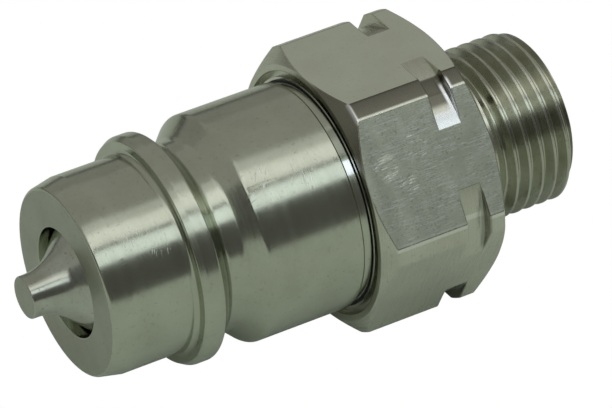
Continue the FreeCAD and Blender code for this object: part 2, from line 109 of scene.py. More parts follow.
def skin(columns, weld=0.0001):
    # Joins closed outlines that stand at successive angles about the axis into one surface.
    bm = bmesh.new()
    rings = []
    for angle, points in columns:
        rings.append([bm.verts.new(station(point.x, point.y, angle)) for point in points])
    for near, far in zip(rings, rings[1:] + rings[:1]):
        for a in range(len(near)):
            b = (a + 1) % len(near)
            bm.faces.new([near[a], near[b], far[b], far[a]])
    bmesh.ops.remove_doubles(bm, verts=bm.verts[:], dist=weld * mm)
    return bm


def lathe(corners, segments, steps):
    outline = roundCorners(corners, steps)
    return skin([(2 * math.pi * k / segments, outline) for k in range(segments)])


plugBodySizes = {
    "noseBore": 5.7, "noseBoreEdge": 0.15,
    "noseRadius": 9.75, "noseEdge": 0.4,
    "taperEnd": 2.4, "taperBlend": 0.25,
    "probeRadius": 10.25,
    "shoulder": 9.15, "shoulderBlend": 0.6,
    "collarFootRadius": 11.5, "collarFootEdge": 0.15,
    "collarFront": 9.85, "collarFrontBlend": 0.5,
    "collarRear": 11.25, "collarRearBlend": 0.4,
    "bodyRadius": 11.9,
    "grooveFront": 12.9, "grooveFrontBlend": 1.0,
    "grooveRear": 14.75, "grooveRearBlend": 0.9,
    "grooveRadius": 10.0,
    "skirtFront": 16.65, "skirtFrontBlend": 0.7,
    "lipFront": 26.97, "lipFrontBlend": 0.2,
    "lipFoot": 27.12, "lipFootRadius": 11.46, "lipFootBlend": 0.05,
    "lipTop": 27.95, "lipTopRadius": 11.66, "lipTopEdge": 0.1,
    "rear": 28.0,
    "threadFront": 24.75, "threadRadius": 9.75,
    "sealBoreFront": 20.55, "sealBore": 9.2,
    "guideBore": 8.8, "guideSeat": 16.6,
    "ringFront": 18.4, "ringRear": 19.52, "ringRadius": 9.5,
    "chamber": 8.2, "chamberFront": 5.1,
    "seatFront": 2.6,
    "segments": 256, "arcSteps": 12,
}


def makePlugBody():
    # Outside from the nose to the rear lip, then the bores from the rear back to the nose.
    size = plugBodySizes
    body = size["bodyRadius"]
    groove = size["grooveRadius"]
    guide = size["guideBore"]
    corners = [
        (0.0, size["noseBore"], size["noseBoreEdge"]),
        (0.0, size["noseRadius"], size["noseEdge"]),
        (size["taperEnd"], size["probeRadius"], size["taperBlend"]),
        (size["shoulder"], size["probeRadius"], size["shoulderBlend"]),
        (size["shoulder"], size["collarFootRadius"], size["collarFootEdge"]),
        (size["collarFront"], body, size["collarFrontBlend"]),
        (size["collarRear"], body, size["collarRearBlend"]),
        (size["grooveFront"], groove, size["grooveFrontBlend"]),
        (size["grooveRear"], groove, size["grooveRearBlend"]),
        (size["skirtFront"], body, size["skirtFrontBlend"]),
        (size["lipFront"], body, size["lipFrontBlend"]),
        (size["lipFoot"], size["lipFootRadius"], size["lipFootBlend"]),
        (size["lipTop"], size["lipTopRadius"], size["lipTopEdge"]),
        (size["rear"], size["threadRadius"]),
        (size["threadFront"], size["threadRadius"]),
        (size["threadFront"], size["sealBore"]),
        (size["sealBoreFront"], size["sealBore"]),
        (size["sealBoreFront"], guide),
        (size["ringRear"], guide),
        (size["ringRear"], size["ringRadius"]),
        (size["ringFront"], size["ringRadius"]),
        (size["ringFront"], guide),
        (size["guideSeat"], guide),
        (size["guideSeat"], size["chamber"]),
        (size["chamberFront"], size["chamber"]),
        (size["seatFront"], size["noseBore"]),
    ]
    bm = lathe(corners, size["segments"], size["arcSteps"])
    return addPiece("plug_body_turned", bm, "housing", ["plug_body"])


poppetSizes = {
    "tip": -4.55,
    "tipRadius": 2.2, "tipEdge": 0.2,
    "tipDimple": ((0.06, 0.0), (0.02, 0.35), (0.0, 0.6)),  # depth and radius
    "flare": 5.0, "flareTurn": 45, "flareSteps": 14, "flareEnd": 1.35,
    "pilotRadius": 5.45, "pilotEdge": 0.15, "pilotEnd": 2.55,
    "coneEnd": 3.4, "coneRadius": 6.3,
    "sealSpigot": 4.4, "sealSpigotEnd": 4.9,
    "boss": 2.6, "bossEnd": 5.8,
    "stemHole": 1.53, "stemHoleFront": 1.9,
    "segments": 128,
}


def makePoppetHead():
    # A trumpet flare runs from the tip into a straight 45 degree cone, then come pilot and valve cone.
    size = poppetSizes
    tip = size["tip"]
    flare = size["flare"]
    foot = size["tipRadius"]
    pilot = size["pilotRadius"]
    turn = math.radians(size["flareTurn"])
    flareRise = flare * (1 - math.cos(turn))
    sweepEnd = size["flareEnd"] - (pilot - foot - flareRise)
    sweepStart = sweepEnd - flare * math.sin(turn)
    corners = [(tip + depth, radius) for depth, radius in size["tipDimple"]]
    corners.append((tip, foot, size["tipEdge"]))
    for step in range(size["flareSteps"] + 1):
        angle = turn * step / size["flareSteps"]
        corners.append((sweepStart + flare * math.sin(angle), foot + flare * (1 - math.cos(angle))))
    corners += [
        (size["flareEnd"], pilot, size["pilotEdge"]),
        (size["pilotEnd"], pilot),
        (size["coneEnd"], size["coneRadius"]),
        (size["coneEnd"], size["sealSpigot"]),
        (size["sealSpigotEnd"], size["sealSpigot"]),
        (size["sealSpigotEnd"], size["boss"]),
        (size["bossEnd"], size["boss"]),
        (size["bossEnd"], size["stemHole"]),
        (size["stemHoleFront"], size["stemHole"]),
        (size["stemHoleFront"], 0.0),
    ]
    bm = lathe(corners, size["segments"], rounding["steps"])
    return addPiece("poppet_head_turned", bm, "poppet", ["poppet_head"])


adapterSizes = {
    "hexFront": 27.85, "hexRear": 42.1,
    "flat": 13.5,          # from the axis to a flat
    "cornerLand": 15.05, "landBlend": 0.05,
    "coneFoot": 13.45, "frontCone": 1.1, "rearCone": 0.9, "coneEdge": 0.14,
    "edge": 0.1,
    "markFront": 37.0, "markRear": 39.5, "markFloor": 13.85,
    "markFillet": 0.12, "markRearFillet": 0.5, "markFilletShare": 0.4, "markShallowest": 0.004,
    "markPlainSpacing": 0.008,
    "recessFloor": 28.8, "recess": 12.8,
    "threadInBody": 9.7, "threadInBodyFront": 24.8,
    "spigotFront": 20.95, "spigot": 9.15, "spigotEdge": 0.1, "spigotMouth": 6.0, "mouthEnd": 21.95,
    "ringGrooveFront": 21.75, "ringGrooveRear": 24.55, "ringGroove": 7.6,
    "bore": 5.0,
    "relief": 7.95, "reliefBlend": 0.3, "reliefLength": 2.95,
    "stubLength": 11.4,
}
threadStart = adapterSizes["hexRear"] + adapterSizes["reliefLength"]
threadEnd = adapterSizes["hexRear"] + adapterSizes["stubLength"]


def markOutline(cap):
    # The ring groove's four corners, or as many plain points where the surface lies under its floor.
    size = adapterSizes
    front = size["markFront"]
    rear = size["markRear"]
    floor = size["markFloor"]
    depth = cap - floor
    if depth > size["markShallowest"]:
        fillet = min(size["markFillet"], depth * size["markFilletShare"])
        rearFillet = min(size["markRearFillet"], depth * size["markFilletShare"])
        return [
            (front, cap, fillet), (front, floor, fillet), (rear, floor, rearFillet), (rear, cap, fillet),
        ]
    pointsPerWall = 2 * (rounding["steps"] + 3)
    middle = (pointsPerWall - 1) / 2
    spacing = size["markPlainSpacing"]
    return [(wall + spacing * (k - middle), cap) for wall in (front, rear) for k in range(pointsPerWall)]


def adapterOutline(swing):
    # The turned outline where it stands at an angle from the middle of a flat, cut down to that flat.
    size = adapterSizes
    land = size["cornerLand"]
    foot = size["coneFoot"]
    blend = size["landBlend"]
    front = size["hexFront"]
    rear = size["hexRear"]
    edge = size["edge"]
    flat = size["flat"] / math.cos(swing)
    cap = min(flat, land) - max(blend - abs(flat - land), 0) ** 2 / (4 * blend)
    slope = (cap - foot) / (land - foot)
    return roundCorners([
        (size["spigotFront"], size["spigotMouth"]),
        (size["spigotFront"], size["spigot"], size["spigotEdge"]),
        (size["ringGrooveFront"], size["spigot"]),
        (size["ringGrooveFront"], size["ringGroove"]),
        (size["ringGrooveRear"], size["ringGroove"]),
        (size["ringGrooveRear"], size["spigot"]),
        (size["threadInBodyFront"], size["spigot"]),
        (size["threadInBodyFront"], size["threadInBody"]),
        (size["recessFloor"], size["threadInBody"]),
        (size["recessFloor"], size["recess"]),
        (front, size["recess"], edge),
        (front, foot, edge),
        (front + size["frontCone"] * slope, cap, size["coneEdge"]),
        *markOutline(cap),
        (rear - size["rearCone"] * slope, cap, size["coneEdge"]),
        (rear, foot, edge),
        (rear, size["relief"], size["reliefBlend"]),
        (threadStart, size["relief"]),
        (threadStart, size["bore"]),
        (size["mouthEnd"], size["bore"]),
    ])


def makeAdapter():
    # Angles from the middle of a flat, closer together where the flat meets the groove and the corner.
    meeting = math.degrees(math.acos(adapterSizes["flat"] / adapterSizes["cornerLand"]))
    half = [
        1.5, 3, 4.5, 6, 7.5, 9, 10.5, 11.8, 12.6, 12.93, 13.2, 13.6, 14.5,
        16, 17.5, 19, 20.5, 22, 23.5, 24.6, meeting - 0.9, meeting - 0.4, meeting - 0.2,
        meeting, meeting + 0.2, meeting + 0.4, meeting + 0.9, 28.5,
    ]
    sector = [-angle for angle in reversed(half)] + [0] + half + [30]
    columns = []
    for side in range(6):
        for angle in sector:
            outline = adapterOutline(math.radians(abs(angle)))
            columns.append((math.radians(90 + 60 * side + angle), outline))
    return addPiece("adapter_hexagon", skin(columns), "housing", ["hex_adapter"])


threadSizes = {
    "pitch": 1.5, "crest": 8.95, "root": 8.03,
    "crestStart": 0.63, "crestEnd": 0.87,   # along one pitch
    "rootStart": 0.10, "rootEnd": 1.40,
    "endRadius": 8.34, "chamferRun": 0.5, "runOut": 1.1,
    "coneMouth": 7.0, "coneDepth": 4.47, "socket": 6.05, "socketDepth": 7,
    "perTurn": 128, "perPitch": 20,
    "weld": 0.0005, "sharp": 24.0,
}


def makeThread():
    # Right-hand M18 x 1.5. Columns of vertices follow the helix and stop at the two ends of the thread.
    size = threadSizes
    pitch = size["pitch"]
    crest = size["crest"]
    root = size["root"]
    relief = adapterSizes["relief"]
    perTurn = size["perTurn"]
    perPitch = size["perPitch"]
    flank = [
        (0.0, root), (size["rootStart"], root), (size["crestStart"], crest), (size["crestEnd"], crest),
        (size["rootEnd"], root), (pitch, root),
    ]
    end = threadEnd
    socketEnd = end - size["socketDepth"]
    innerCorners = [
        (end, size["coneMouth"]), (end - size["coneDepth"], size["socket"]), (socketEnd, size["socket"]),
        (socketEnd, adapterSizes["bore"]), (threadStart, adapterSizes["bore"]),
    ]

    def profile(x):
        x = x % pitch
        for (xa, ra), (xb, rb) in zip(flank, flank[1:]):
            if x <= xb:
                return ra + (rb - ra) * (x - xa) / (xb - xa)

    def radius(x, shift):
        ramp = relief + (x - threadStart) * (crest - relief) / size["runOut"]
        chamfer = size["endRadius"] + (end - x) * (crest - size["endRadius"]) / size["chamferRun"]
        return min(profile(x - threadStart - shift), ramp, chamfer)

    turns = math.ceil((end - threadStart) / pitch) + 1
    bm = bmesh.new()
    rings = []
    for k in range(perTurn):
        shift = pitch * k / perTurn
        angle = 2 * math.pi * k / perTurn
        ring = []
        for j in range(-perPitch, turns * perPitch + 1):
            x = min(max(threadStart + pitch * j / perPitch + shift, threadStart), end)
            ring.append(bm.verts.new(station(x, max(radius(x, shift), relief), angle)))
        for x, r in innerCorners:
            ring.append(bm.verts.new(station(x, r, angle)))
        rings.append(ring)
    helix = len(rings[0]) - len(innerCorners)
    for k in range(perTurn):
        near = rings[k]
        far = rings[(k + 1) % perTurn]
        ahead = perPitch if k == perTurn - 1 else 0  # the last column meets the first one a pitch on
        for j in range(helix - 1 - ahead):
            bm.faces.new([near[j], near[j + 1], far[j + 1 + ahead], far[j + ahead]])
        inside = list(range(helix - 1, len(near))) + [0]
        for a, b in zip(inside, inside[1:]):
            bm.faces.new([near[a], near[b], far[b], far[a]])
    bmesh.ops.remove_doubles(bm, verts=bm.verts[:], dist=size["weld"] * mm)
    return addPiece("adapter_thread", bm, "housing", ["hex_adapter"], sharp=size["sharp"])


springSizes = {
    "front": 5.92, "rear": 16.58,
    "wire": 0.5, "coil": 5.0,  # radii of the wire and of the coil's middle
    "turns": 5.5, "closedPitch": 1.02,
    "steps": 40, "sides": 14,
    "stroke": 4.8,
}


def makeSpring():
    # Closed end turns run smoothly into the working turns, and both ends are ground flat.
    size = springSizes
    front = size["front"]
    rear = size["rear"]
    wire = size["wire"]
    turns = size["turns"]
    closedPitch = size["closedPitch"]
    sides = size["sides"]
    first = front + wire / 4
    rise = rear - front - wire / 2 - 2 * closedPitch
    bm = bmesh.new()
    rings = []
    for step in range(int(turns * size["steps"]) + 1):
        done = step / size["steps"]
        share = min(max((done - 1) / (turns - 2), 0.0), 1.0)
        ease = share - math.sin(2 * math.pi * share) / (2 * math.pi)
        x = first + (min(done, 1) + max(done - turns + 1, 0)) * closedPitch + rise * ease
        angle = 2 * math.pi * done
        ring = []
        for side in range(sides):
            turn = 2 * math.pi * side / sides
            place = station(x + wire * math.cos(turn), size["coil"] + wire * math.sin(turn), angle)
            ring.append(bm.verts.new(place))
        rings.append(ring)
    for near, far in zip(rings, rings[1:]):
        for k in range(sides):
            n = (k + 1) % sides
            bm.faces.new([near[k], near[n], far[n], far[k]])
    bm.faces.new(rings[0])
    bm.faces.new(rings[-1])
    for x, outward in ((front, Vector((-1, 0, 0))), (rear, Vector((1, 0, 0)))):
        geometry = bm.verts[:] + bm.edges[:] + bm.faces[:]
        cut = bmesh.ops.bisect_plane(bm, geom=geometry, dist=1e-8, plane_co=station(x, 0),
                                     plane_no=outward, clear_outer=True)
        rim = [item for item in cut["geom_cut"] if isinstance(item, bmesh.types.BMEdge)]
        bmesh.ops.holes_fill(bm, edges=rim, sides=0)
    spring = addPiece("valve_spring_wound", bm, "housing", ["valve_spring"])
    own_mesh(spring)
    return spring


def addNode(tree, kind, **settings):
    node = tree.nodes.new(kind)
    for name, setting in settings.items():
        setattr(node, name, setting)
    return node


def findInput(node, name):
    # By name with _ for a space, or by number as i0, i1 and so on.
    if name[0] == "i" and name[1:].isdigit():
        return node.inputs[int(name[1:])]
    return node.inputs[name.replace("_", " ")]


def put(tree, node, **inputs):
    for name, source in inputs.items():
        socket = findInput(node, name)
        if isinstance(source, bpy.types.NodeSocket):
            tree.links.new(source, socket)
        else:
            socket.default_value = source
    return node


def math2(tree, operation, a, b=0.0):
    return put(tree, addNode(tree, "ShaderNodeMath", operation=operation), i0=a, i1=b).outputs[0]


def addScaled(tree, total, mask, weight):
    return math2(tree, "ADD", total, math2(tree, "MULTIPLY", mask, weight))


def addNoise(tree, place, **values):
    return put(tree, addNode(tree, "ShaderNodeTexNoise"), Vector=place, **values).outputs[0]


def spread(tree, value, kind="LINEAR", **limits):
    node = addNode(tree, "ShaderNodeMapRange", interpolation_type=kind)
    return put(tree, node, Value=value, **limits).outputs[0]


def mixColour(tree, factor, a, b):
    node = addNode(tree, "ShaderNodeMix", data_type="RGBA")
    put(tree, node, i0=factor, i6=a, i7=b)
    return node.outputs[2]


def objectCoords(tree):
    return addNode(tree, "ShaderNodeTexCoord").outputs["Object"]


def newGroup(name, inputs, outputs):
    # Inputs are names with their starting values, and every output is a value.
    tree = bpy.data.node_groups.new(name, "ShaderNodeTree")
    for label, start in inputs.items():
        socket = tree.interface.new_socket(label, in_out="INPUT", socket_type="NodeSocketFloat")
        socket.default_value = start
    for label in outputs:
        tree.interface.new_socket(label, in_out="OUTPUT", socket_type="NodeSocketFloat")
    return tree, addNode(tree, "NodeGroupInput").outputs, addNode(tree, "NodeGroupOutput").inputs


def useGroup(tree, group, **inputs):
    return put(tree, addNode(tree, "ShaderNodeGroup", node_tree=group), **inputs).outputs


turningPattern = {
    "Lines": {"perMetre": 9000.0, "detail": 2.0, "share": 0.6},
    "Waves": {"perMetre": 700.0, "detail": 1.0, "share": 0.4},
}


def makeTurningGroup():
    # Fine rings that a lathe tool leaves round the X axis, with slower waves over them.
    starts = {label: pattern["perMetre"] for label, pattern in turningPattern.items()}
    tree, given, out = newGroup("turning rings", starts, ["Height"])
    split = put(tree, addNode(tree, "ShaderNodeSeparateXYZ"), Vector=objectCoords(tree))
    parts = []
    for label, pattern in turningPattern.items():
        noise = addNode(tree, "ShaderNodeTexNoise", noise_dimensions="1D")
        put(tree, noise, W=math2(tree, "MULTIPLY", split.outputs["X"], given[label]), Scale=1.0,
            Detail=pattern["detail"])
        parts.append(math2(tree, "MULTIPLY", noise.outputs[0], pattern["share"]))
    tree.links.new(math2(tree, "ADD", *parts), out["Height"])
    return tree


wearPattern = {
    "blotch": {"Scale": 220.0, "Detail": 4.0, "Roughness": 0.6},
    "pit": {"Scale": 2600.0, "Detail": 2.0, "Roughness": 0.7},
    "pitLimits": {"From_Min": 0.60, "From_Max": 0.72},
    "scratch": {"Scale": 1.0, "Detail": 3.0},
    "scratchLimits": {"From_Min": 0.66, "From_Max": 0.70},
    "scratchWays": (  # turn in radians, and stretch of the noise along X, Y and Z
        (0.5, (900.0, 60.0, 60.0)), (-0.9, (60.0, 800.0, 80.0)), (1.9, (700.0, 80.0, 500.0)),
    ),
    "tilt": 0.7,  # share of the turn that goes round Y
}


def makeWearGroup():
    # Blotches of plating, dark pits and fine crossing scratches, as three separate masks.
    tree, given, out = newGroup("plating wear", {"Scale": 1.0}, ["Blotch", "Pit", "Scratch"])
    scaled = addNode(tree, "ShaderNodeVectorMath", operation="SCALE")
    put(tree, scaled, Vector=objectCoords(tree), Scale=given["Scale"])
    place = scaled.outputs["Vector"]
    tree.links.new(addNoise(tree, place, **wearPattern["blotch"]), out["Blotch"])
    pit = addNoise(tree, place, **wearPattern["pit"])
    tree.links.new(spread(tree, pit, "SMOOTHSTEP", **wearPattern["pitLimits"]), out["Pit"])
    masks = []
    for turn, stretch in wearPattern["scratchWays"]:
        mapping = put(tree, addNode(tree, "ShaderNodeMapping"), Vector=place,
                      Rotation=(turn, turn * wearPattern["tilt"], turn), Scale=stretch)
        lines = addNoise(tree, mapping.outputs[0], **wearPattern["scratch"])
        masks.append(spread(tree, lines, **wearPattern["scratchLimits"]))
    most = math2(tree, "MAXIMUM", math2(tree, "MAXIMUM", masks[0], masks[1]), masks[2])
    tree.links.new(most, out["Scratch"])
    return tree


def makeAroundGroup():
    # Station along the axis in metres and the angle from the front horizon in degrees.
    tree, _, out = newGroup("place round the axis", {}, ["Along", "Angle"])
    split = put(tree, addNode(tree, "ShaderNodeSeparateXYZ"), Vector=objectCoords(tree))
    turn = math2(tree, "ARCTAN2", split.outputs["Z"], math2(tree, "MULTIPLY", split.outputs["Y"], -1.0))
    tree.links.new(split.outputs["X"], out["Along"])
    tree.links.new(math2(tree, "DEGREES", turn), out["Angle"])
    return tree


def makeWindowGroup():
    # 1 between two limits of a value, with soft ends.
    starts = {"Value": 0.0, "Start": 0.0, "Stop": 1.0, "Soft": 0.1}
    tree, given, out = newGroup("window", starts, ["Mask"])
    sides = []
    for limit, direction in (("Start", 1.0), ("Stop", -1.0)):
        past = math2(tree, "MULTIPLY", math2(tree, "SUBTRACT", given["Value"], given[limit]), direction)
        share = math2(tree, "ADD", math2(tree, "DIVIDE", past, given["Soft"]), 0.5)
        sides.append(spread(tree, share, "SMOOTHSTEP"))
    tree.links.new(math2(tree, "MULTIPLY", *sides), out["Mask"])
    return tree


scuffPattern = {
    "radius": 12,                                   # of the surface, to turn degrees into a length
    "alongScale": 500.0, "acrossScale": 5200.0,     # a scratch is some ten times as long as wide
    "shiftPerDegree": 0.37,                         # gives patches at other angles other scratches
    "noise": {"Scale": 1.0, "Detail": 3.0, "Roughness": 0.7},
    "fade": {"From_Min": 1.0, "From_Max": 0.35},    # shares of the reach
    "line": {"From_Min": 0.0, "From_Max": 0.05},
}


def makeScuffGroup():
    # A patch of short parallel scratches round one place, Along in metres and Angle in degrees.
    starts = {"Along": 0.0, "Angle": 0.0, "Reach": 0.001, "Lean": 0.0, "Cover": 0.5}
    tree, given, out = newGroup("scuff", starts, ["Mask"])
    place = useGroup(tree, placeRound)
    metresPerDegree = scuffPattern["radius"] * mm * math.pi / 180
    dx = math2(tree, "SUBTRACT", place["Along"], given["Along"])
    turned = math2(tree, "SUBTRACT", place["Angle"], given["Angle"])
    da = math2(tree, "MULTIPLY", turned, metresPerDegree)
    cosine = math2(tree, "COSINE", given["Lean"])
    sine = math2(tree, "SINE", given["Lean"])
    along = addScaled(tree, math2(tree, "MULTIPLY", dx, cosine), da, sine)
    across = math2(tree, "SUBTRACT", math2(tree, "MULTIPLY", da, cosine),
                   math2(tree, "MULTIPLY", dx, sine))
    far = math2(tree, "SQRT", addScaled(tree, math2(tree, "MULTIPLY", dx, dx), da, da))
    fade = spread(tree, math2(tree, "DIVIDE", far, given["Reach"]), "SMOOTHSTEP", **scuffPattern["fade"])
    spot = put(tree, addNode(tree, "ShaderNodeCombineXYZ"),
               X=math2(tree, "MULTIPLY", along, scuffPattern["alongScale"]),
               Y=math2(tree, "MULTIPLY", across, scuffPattern["acrossScale"]),
               Z=math2(tree, "MULTIPLY", given["Angle"], scuffPattern["shiftPerDegree"]))
    lines = addNoise(tree, spot.outputs[0], **scuffPattern["noise"])
    above = math2(tree, "SUBTRACT", lines, math2(tree, "SUBTRACT", 1.0, given["Cover"]))
    line = spread(tree, above, **scuffPattern["line"])
    tree.links.new(math2(tree, "MULTIPLY", fade, line), out["Mask"])
    return tree


millPattern = {
    "clouds": {"Scale": 420.0, "Detail": 3.0},
    "cloudLimits": {"From_Min": 0.32, "From_Max": 0.52},
    "streak": {"Scale": 1.0, "Detail": 2.5},
    "streaks": {  # stretch of the noise along X, Y and Z, and the value from which a streak shows
        "Bright": ((700.0, 9500.0, 9500.0), 0.52),
        "Dull": ((4200.0, 9500.0, 9500.0), 0.5),
    },
    "softness": 0.12,
}


def makeMillGroup():
    # Fine streaks along the axis on a rolled flat, as bright ones and dull ones, broken up by blotches.
    tree, _, out = newGroup("rolled grain", {}, list(millPattern["streaks"]))
    coords = objectCoords(tree)
    patch = spread(tree, addNoise(tree, coords, **millPattern["clouds"]), **millPattern["cloudLimits"])
    for label, (stretch, start) in millPattern["streaks"].items():
        mapping = put(tree, addNode(tree, "ShaderNodeMapping"), Vector=coords, Scale=stretch)
        lines = addNoise(tree, mapping.outputs[0], **millPattern["streak"])
        line = spread(tree, lines, From_Min=start, From_Max=start + millPattern["softness"])
        tree.links.new(math2(tree, "MULTIPLY", line, patch), out[label])
    return tree


turningRings = makeTurningGroup()
platingWear = makeWearGroup()
placeRound = makeAroundGroup()
windowMask = makeWindowGroup()
scuffPatch = makeScuffGroup()
millGrain = makeMillGroup()
print("shader groups made")


def paintedLightMask(tree, paintedBand, soft=0.3):
    # A band of angles, and where given a stretch along the axis, with soft borders, for painted
    # highlights and painted shade.
    place = useGroup(tree, placeRound)
    start, stop, softAngle = paintedBand["angles"]
    mask = useGroup(tree, windowMask, Value=place["Angle"], Start=float(start), Stop=float(stop),
                    Soft=float(softAngle))[0]
    if "along" in paintedBand:
        start, stop = paintedBand["along"]
        stretch = useGroup(tree, windowMask, Value=place["Along"], Start=(start - noseToOrigin) * mm,
                           Stop=(stop - noseToOrigin) * mm, Soft=soft * mm)[0]
        mask = math2(tree, "MULTIPLY", mask, stretch)
    return math2(tree, "MULTIPLY", mask, paintedBand.get("strength", 1.0))


def newMaterial(name):
    material = bpy.data.materials.new(name)
    material.use_nodes = True
    return material, material.node_tree, material.node_tree.nodes["Principled BSDF"]


def makeSteel(name, look):
    material, tree, shader = newMaterial(name)
    wear = useGroup(tree, platingWear, Scale=look["wearScale"])
    rings = useGroup(tree, turningRings, Lines=look["lines"], Waves=look["waves"])["Height"]
    blotchStart, blotchStop = look["blotchLimits"]
    blotch = spread(tree, wear["Blotch"], From_Min=blotchStart, From_Max=blotchStop)
    colour = mixColour(tree, blotch, (*look["light"], 1), (*look["dark"], 1))
    pits = math2(tree, "MULTIPLY", wear["Pit"], look["pits"])
    colour = mixColour(tree, pits, colour, (*look["pitColour"], 1))
    # Bands of painted highlight, painted shade and painted dark reflection go into the base colour.
    for paintedBand in look["paintedLight"]:
        colour = mixColour(tree, paintedLightMask(tree, paintedBand), colour, (*paintedBand["colour"], 1))
    height = addScaled(tree, math2(tree, "MULTIPLY", rings, look["ringDepth"]), wear["Scratch"],
                       -look["scratchDepth"])
    height = addScaled(tree, height, wear["Pit"], -look["pitDepth"])
    ringStart, ringStop = look["ringLimits"]
    rough = spread(tree, rings, From_Min=ringStart, From_Max=ringStop,
                   To_Min=look["rough"] - look["roughSpread"], To_Max=look["rough"] + look["roughSpread"])
    for along, angle, reach, lean, cover in look["scuffs"]:
        scuff = useGroup(tree, scuffPatch, Along=(along - noseToOrigin) * mm, Angle=float(angle),
                         Reach=reach * mm, Lean=math.radians(lean), Cover=cover)[0]
        bare = math2(tree, "MULTIPLY", scuff, look["scuffShare"])
        colour = mixColour(tree, bare, colour, (*look["scuffColour"], 1))
        rough = addScaled(tree, rough, scuff, look["scuffRough"])
        height = addScaled(tree, height, scuff, -look["scuffDepth"])
    if look["grain"]:
        grain = useGroup(tree, millGrain)
        bright = math2(tree, "MULTIPLY", grain["Bright"], look["grain"])
        colour = mixColour(tree, bright, colour, (*look["grainBright"], 1))
        dull = math2(tree, "MULTIPLY", grain["Dull"], look["grain"] * look["dullShare"])
        colour = mixColour(tree, dull, colour, (*look["grainDull"], 1))
        height = addScaled(tree, height, grain["Dull"], -look["grainDepth"])
    bump = put(tree, addNode(tree, "ShaderNodeBump"), Height=height, Strength=1.0, Distance=mm)
    tangent = addNode(tree, "ShaderNodeTangent", direction_type="RADIAL", axis="X")
    put(tree, shader, Base_Color=colour, Metallic=1.0, Roughness=rough, Normal=bump.outputs[0],
        Anisotropic=look["anisotropic"], Tangent=tangent.outputs[0])
    return material


def makeSoft(name, look):
    material, tree, shader = newMaterial(name)
    blotch = useGroup(tree, platingWear)["Blotch"]
    colour = mixColour(tree, blotch, (*look["light"], 1), (*look["dark"], 1))
    bump = put(tree, addNode(tree, "ShaderNodeBump"), Height=blotch, Strength=look["bump"],
               Distance=look["bumpDepth"] * mm)
    put(tree, shader, Base_Color=colour, Roughness=look["rough"], Normal=bump.outputs[0])
    return material


# Angles are start, stop and softness in degrees from the front horizon, along is start and stop.
# Each band paints light onto the metal at fixed angles round the axis: painted highlights, painted shade
# and painted dark reflections.
paintedLight = {
    # Painted dark reflection along the corner land between the top flat and the flat towards the camera.
    "cornerPaintedReflection": {"angles": (57.0, 65.5, 1.0), "along": (28.9, 42.3), "colour": (0.1, 0.094, 0.072),
                    "strength": 0.9},
    # Painted shade on the hexagon's front face and cone, next to the plug body's rear lip.
    "conePaintedShade": {"angles": (40, 84, 12), "along": (27.7, 28.95), "colour": (0.17, 0.16, 0.125),
                  "strength": 0.85},
    # Painted highlight on the front edge of the upper front corner.
    "edgePaintedHighlight": {"angles": (55.0, 64.5, 1.0), "along": (28.8, 29.05), "colour": (0.9, 0.92, 0.92),
                  "strength": 0.8},
    # Painted highlight along the edge where the corner facing the camera meets the flat above it.
    "rimPaintedHighlight": {"angles": (2.4, 4.9, 0.6), "along": (28.9, 42.0), "colour": (0.85, 0.88, 0.8),
                "strength": 0.6},
    # Painted shade in the ring groove's notch at the lower front corner.
    "notchPaintedShade": {"angles": (-74, -46, 4), "along": (36.9, 39.6), "colour": (0.17, 0.17, 0.14),
                  "strength": 0.8},
    # Painted shade on the notch's rear wall at the corner facing the camera.
    "wallPaintedShade": {"angles": (-14, 14, 4), "along": (39.15, 39.7), "colour": (0.26, 0.27, 0.23),
                 "strength": 0.7},
    # Painted shade across the notch floor at the upper front corner.
    "notchFloorPaintedShade": {"angles": (52, 58, 3.5), "along": (37.0, 39.5), "colour": (0.1, 0.094, 0.072),
                   "strength": 0.9},
    # Painted highlight on the notch floor at the upper front corner.
    "notchFootPaintedHighlight": {"angles": (41, 49.5, 1.5), "along": (37.0, 39.5), "colour": (0.75, 0.77, 0.76)},
    # Painted highlight on the notch's rear wall at the upper front corner.
    "notchWallPaintedHighlight": {"angles": (46, 61, 2.5), "along": (39.1, 39.75), "colour": (0.8, 0.82, 0.83)},
    "shadedLip": {"angles": (47, 64, 3), "along": (27.1, 28.1), "colour": (0.24, 0.26, 0.21)},
    # Painted reflection of the lower softbox on the plug body's rear lip.
    "lipPaintedReflection": {"angles": (38.5, 46.0, 1), "along": (27.1, 28.1), "colour": (0.8, 0.84, 0.86)},
}
# The painted highlights, painted shade and painted dark reflections on the hexagon.
hexPaintedLight = ("cornerPaintedReflection", "conePaintedShade", "notchFloorPaintedShade", "notchFootPaintedHighlight", "notchWallPaintedHighlight", "edgePaintedHighlight", "rimPaintedHighlight",
             "notchPaintedShade", "wallPaintedShade")

